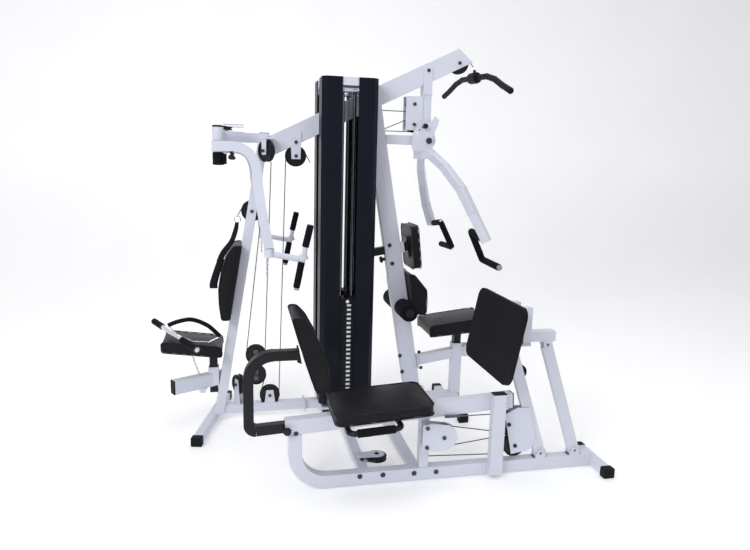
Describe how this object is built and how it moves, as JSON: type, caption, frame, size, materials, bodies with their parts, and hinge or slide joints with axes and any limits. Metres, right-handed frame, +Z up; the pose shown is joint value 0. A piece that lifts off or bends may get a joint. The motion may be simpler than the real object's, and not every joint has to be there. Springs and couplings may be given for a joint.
{
  "type": "multi station home gym",
  "caption": "Multi-station strength trainer with weight stacks, leg press, press arm, fly and row station and overhead pulldown bar.",
  "frame": {"origin": "on the floor under the weight stack tower, in the mid plane of the main frame", "axes": "+X towards the press station, -Y towards the leg press side, +Z up"},
  "size_m": [2.2562, 1.6294, 2.1081],
  "materials": {
    "frame_white": "satin",
    "shroud_black": "satin",
    "plate_black": "satin",
    "chrome": "polished",
    "pad_vinyl": "satin",
    "foam": "matte",
    "plastic_black": "matte",
    "cable": "satin",
    "rubber_black": "matte",
    "bolt_dark": "satin",
    "tube_black": "satin"
  },
  "bodies": {
    "frame": {"base_left": "frame_white", "tower_base": "frame_white", "base_right": "frame_white", "cross_feet": "frame_white", "left_upright": "frame_white", "right_upright": "frame_white", "top_boom": "frame_white", "press_hanger": "frame_white", "ground_tubes": "frame_white", "end_caps": "rubber_black", "tower_tops": "frame_white", "shrouds": "shroud_black", "guide_rods": "chrome", "weight_plates": "plate_black", "front_lift_cable": "cable", "rear_lift_cable": "cable", "lower_pad": "pad_vinyl", "press_seat_beam": "frame_white", "lp_base_rail": "frame_white", "lp_seat_rail": "frame_white", "lp_posts": "frame_white", "lp_seat": "pad_vinyl", "lp_handles": "tube_black", "pec_crosshead": "frame_white", "pec_seat_beam": "frame_white", "pec_back_pad": "pad_vinyl", "ab_strap": "pad_vinyl", "cables": "cable", "fasteners": "bolt_dark", "pulleys_fixed": "plastic_black"},
    "press_arm": {"press_arm": "frame_white", "press_grips": "foam"},
    "press_pop_pin": {"press_pop_pin": "plastic_black"},
    "front_head": {"front_head": "plate_black"},
    "rear_head": {"rear_head": "plate_black"},
    "front_pin": {"front_pin": "chrome"},
    "rear_pin": {"rear_pin": "chrome"},
    "lat_bar": {"lat_bar": "rubber_black"},
    "chest_pad": {"upper_post": "tube_black", "upper_pad": "pad_vinyl"},
    "press_seat": {"press_seat_post": "tube_black", "press_seat": "pad_vinyl"},
    "hold_rollers": {"hold_rollers": "foam"},
    "leg_developer": {"leg_developer": "frame_white"},
    "developer_rollers": {"developer_rollers": "foam"},
    "lp_back": {"lp_back_frame": "tube_black", "lp_back_pad": "pad_vinyl"},
    "lp_link_main": {"lp_link_main": "frame_white", "pulleys_link": "plastic_black"},
    "lp_link_front": {"lp_link_front": "frame_white"},
    "lp_carriage": {"lp_carriage": "frame_white", "lp_foot_plate": "rubber_black"},
    "pec_arm_near": {"pec_arm_near": "frame_white", "pec_grips_near": "foam"},
    "pec_arm_far": {"pec_arm_far": "frame_white", "pec_grips_far": "foam"},
    "pec_seat": {"pec_seat_post": "tube_black", "pec_seat": "pad_vinyl"},
    "row_bar": {"row_bar": "chrome"},
    "pulley_boom_end": {"pulley_boom_end": "plastic_black"}
  },
  "joints": [
    {"name": "press_arm_swing", "type": "hinge", "parent": "frame", "child": "press_arm", "pos_m": [0.455, 0, 1.6], "axis": [0, -1, 0], "range_deg": [0, 50]},
    {"name": "press_pop_pin_pull", "type": "slide", "parent": "press_arm", "child": "press_pop_pin", "axis": [0, -1, 0], "range_m": [0, 0.014]},
    {"name": "front_stack_lift", "type": "slide", "parent": "frame", "child": "front_head", "axis": [0, 0, 1], "range_m": [0, 0.42], "deforming": ["front_lift_cable"]},
    {"name": "rear_stack_lift", "type": "slide", "parent": "frame", "child": "rear_head", "axis": [0, 0, 1], "range_m": [0, 0.42], "deforming": ["rear_lift_cable"]},
    {"name": "front_pin_pull", "type": "slide", "parent": "front_head", "child": "front_pin", "axis": [0, -1, 0], "range_m": [0, 0.06]},
    {"name": "rear_pin_pull", "type": "slide", "parent": "rear_head", "child": "rear_pin", "axis": [0, 1, 0], "range_m": [0, 0.06]},
    {"name": "lat_bar_pull", "type": "slide", "parent": "frame", "child": "lat_bar", "axis": [0, 0, -1], "range_m": [0, 0.65]},
    {"name": "chest_pad_adjust", "type": "slide", "parent": "frame", "child": "chest_pad", "axis": [0.985, 0, 0.1724], "range_m": [0, 0.06]},
    {"name": "press_seat_height", "type": "slide", "parent": "frame", "child": "press_seat", "axis": [0, 0, 1], "range_m": [0, 0.08]},
    {"name": "hold_roller_spin", "type": "hinge", "parent": "frame", "child": "hold_rollers", "pos_m": [0.32836, 0, 0.653], "axis": [0, 1, 0], "continuous": true},
    {"name": "leg_developer_swing", "type": "hinge", "parent": "frame", "child": "leg_developer", "pos_m": [0.788, 0, 0.366], "axis": [0, -1, 0], "range_deg": [0, 60]},
    {"name": "developer_roller_spin", "type": "hinge", "parent": "leg_developer", "child": "developer_rollers", "pos_m": [1.016, 0, 0.276], "axis": [0, 1, 0], "continuous": true},
    {"name": "leg_press_back_adjust", "type": "slide", "parent": "frame", "child": "lp_back", "axis": [-0.9981, 0, -0.0614], "range_m": [0, 0.08]},
    {"name": "leg_press_link_swing", "type": "hinge", "parent": "frame", "child": "lp_link_main", "pos_m": [0.838, -0.84, 0.09], "axis": [0, 1, 0], "range_deg": [0, 36]},
    {"name": "leg_press_front_link_swing", "type": "hinge", "parent": "frame", "child": "lp_link_front", "pos_m": [1.022, -0.84, 0.09], "axis": [0, 1, 0], "range_deg": [0, 36]},
    {"name": "leg_press_carriage_swing", "type": "hinge", "parent": "lp_link_main", "child": "lp_carriage", "pos_m": [0.648, -0.84, 0.642], "axis": [0, 1, 0], "range_deg": [-36, 0]},
    {"name": "pec_arm_near_swing", "type": "hinge", "parent": "frame", "child": "pec_arm_near", "pos_m": [-0.684, -0.35, 1.5], "axis": [0, 0, -1], "range_deg": [0, 110]},
    {"name": "pec_arm_far_swing", "type": "hinge", "parent": "frame", "child": "pec_arm_far", "pos_m": [-0.684, 0.35, 1.5], "axis": [0, 0, 1], "range_deg": [0, 110]},
    {"name": "pec_seat_height", "type": "slide", "parent": "frame", "child": "pec_seat", "axis": [0, 0, 1], "range_m": [0, 0.08]},
    {"name": "row_bar_lift", "type": "slide", "parent": "pec_seat", "child": "row_bar", "axis": [0, 0, 1], "range_m": [0, 0.3]},
    {"name": "boom_end_pulley_spin", "type": "hinge", "parent": "frame", "child": "pulley_boom_end", "pos_m": [0.622, 0, 2.03], "axis": [0, 1, 0], "continuous": true}
  ],
  "couplings": [
    {"joint": "leg_press_front_link_swing", "follows": "leg_press_link_swing", "ratio": 1},
    {"joint": "leg_press_carriage_swing", "follows": "leg_press_link_swing", "ratio": -1},
    {"joint": "front_stack_lift", "follows": "leg_press_link_swing", "m_per_rad": 0.6},
    {"joint": "rear_stack_lift", "follows": "press_arm_swing", "m_per_rad": 0.45}
  ]
}
